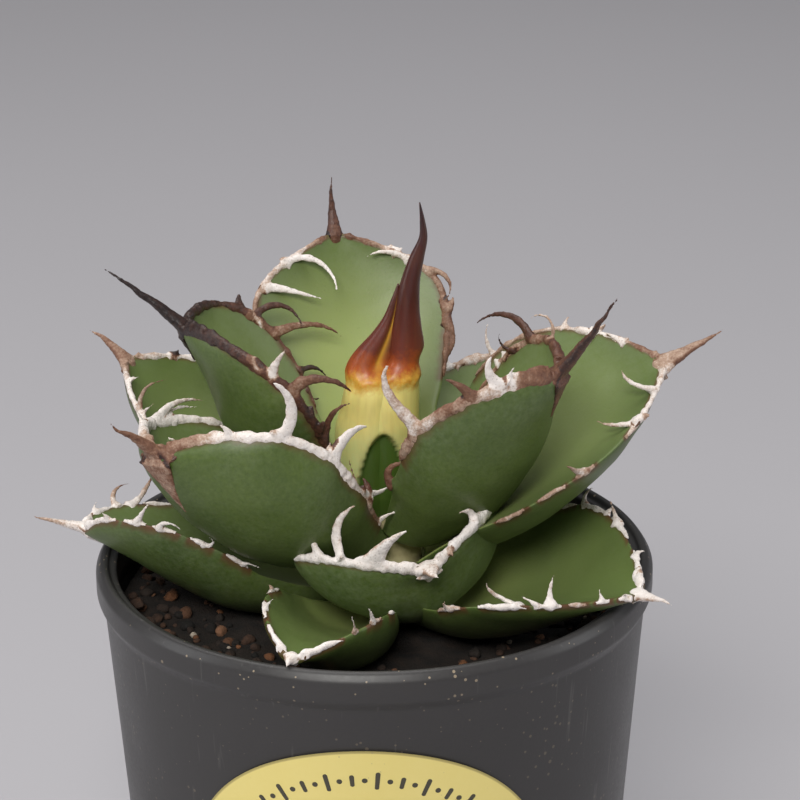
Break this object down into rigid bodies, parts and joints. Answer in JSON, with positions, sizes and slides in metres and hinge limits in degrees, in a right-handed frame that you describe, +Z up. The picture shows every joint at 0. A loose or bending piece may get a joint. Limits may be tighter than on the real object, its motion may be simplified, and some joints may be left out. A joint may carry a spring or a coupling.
{
  "type": "potted agave plant",
  "caption": "Compact agave rosette with broad toothed leaves and a dark central bud, in a round black plastic nursery pot with a plain round label.",
  "frame": {"origin": "middle of the pot's flat underside", "axes": "+Z up out of the pot, -Y towards the label and the front of the plant, +X to the right seen from the front"},
  "size_m": [0.1287, 0.105, 0.1643],
  "materials": {
    "leaf": "satin",
    "bud": "satin",
    "stem": "matte",
    "pot_plastic": "satin",
    "label_paper": "satin",
    "soil": "matte",
    "grain": "matte"
  },
  "bodies": {
    "root": {"pot": "pot_plastic", "label": "label_paper", "soil": "soil", "stem": "stem", "bud_spear": "bud", "bud_leaf": "bud", "leaf_01": "leaf", "leaf_02": "leaf", "leaf_03": "leaf", "leaf_04": "leaf", "leaf_05": "leaf", "leaf_06": "leaf", "leaf_07": "leaf", "leaf_08": "leaf", "leaf_09": "leaf", "leaf_10": "leaf", "leaf_11": "leaf", "leaf_12": "leaf", "grain_01": "grain", "grain_02": "grain", "grain_03": "grain", "grain_04": "grain", "grain_05": "grain", "grain_06": "grain", "grain_07": "grain", "grain_08": "grain", "grain_09": "grain", "grain_10": "grain", "grain_11": "grain", "grain_12": "grain", "grain_13": "grain", "grain_14": "grain"}
  },
  "joints": []
}
